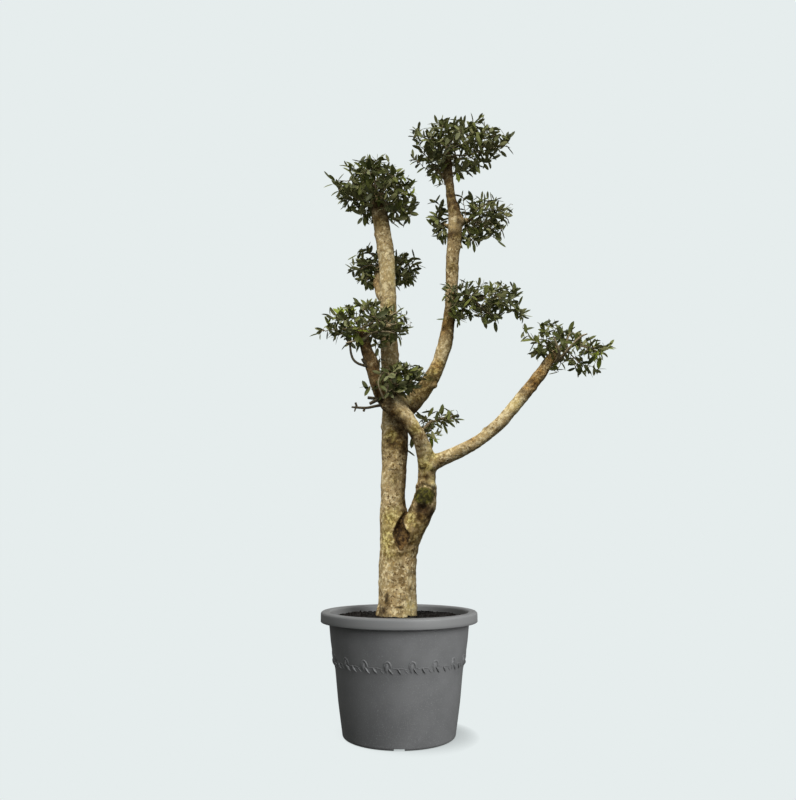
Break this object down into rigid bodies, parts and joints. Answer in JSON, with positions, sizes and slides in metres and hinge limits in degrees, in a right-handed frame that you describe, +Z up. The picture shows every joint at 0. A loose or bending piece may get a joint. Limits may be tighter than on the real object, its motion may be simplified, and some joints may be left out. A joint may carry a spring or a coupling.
{
  "type": "potted olive tree",
  "caption": "Olive tree with a forked trunk, a crossing limb and separate clipped pads of leaves on bare stems, in a round dark grey rimmed pot.",
  "frame": {"origin": "centre of the flat underside of the pot, where it stands", "axes": "+Z up along the tree, +X towards the long arm with the far right pad, -Y towards the side where the crossing limb passes in front of the trunk"},
  "size_m": [1.2183, 0.6, 2.5454],
  "materials": {
    "pot_plastic": "fine moulded grain, dark grey, slightly silky",
    "compost": "dark moist potting compost, crumbly",
    "bark": "pale tan olive bark, finely cracked, with yellow-green lichen",
    "leaves": "leathery olive leaves, dark green above and silver-grey below"
  },
  "bodies": {
    "root": {"pot": "pot_plastic", "soil": "compost", "trunk": "bark", "left_stem": "bark", "side_stem": "bark", "cross_limb": "bark", "left_limb": "bark", "right_stem_lower": "bark", "right_stem_upper": "bark", "right_leader": "bark", "arm_inner": "bark", "arm_outer": "bark", "behind_limb": "bark", "middle_right_spur": "bark", "upper_right_spur": "bark", "upper_left_spur": "bark", "top_left_spur": "bark", "centre_spur": "bark", "low_spur": "bark", "pad_top": "leaves", "pad_upper_right": "leaves", "pad_upper_left": "leaves", "pad_middle_right": "leaves", "pad_left_top": "leaves", "pad_left_middle": "leaves", "pad_left_low": "leaves", "pad_centre": "leaves", "pad_far_right": "leaves", "pad_low": "leaves"}
  },
  "joints": []
}
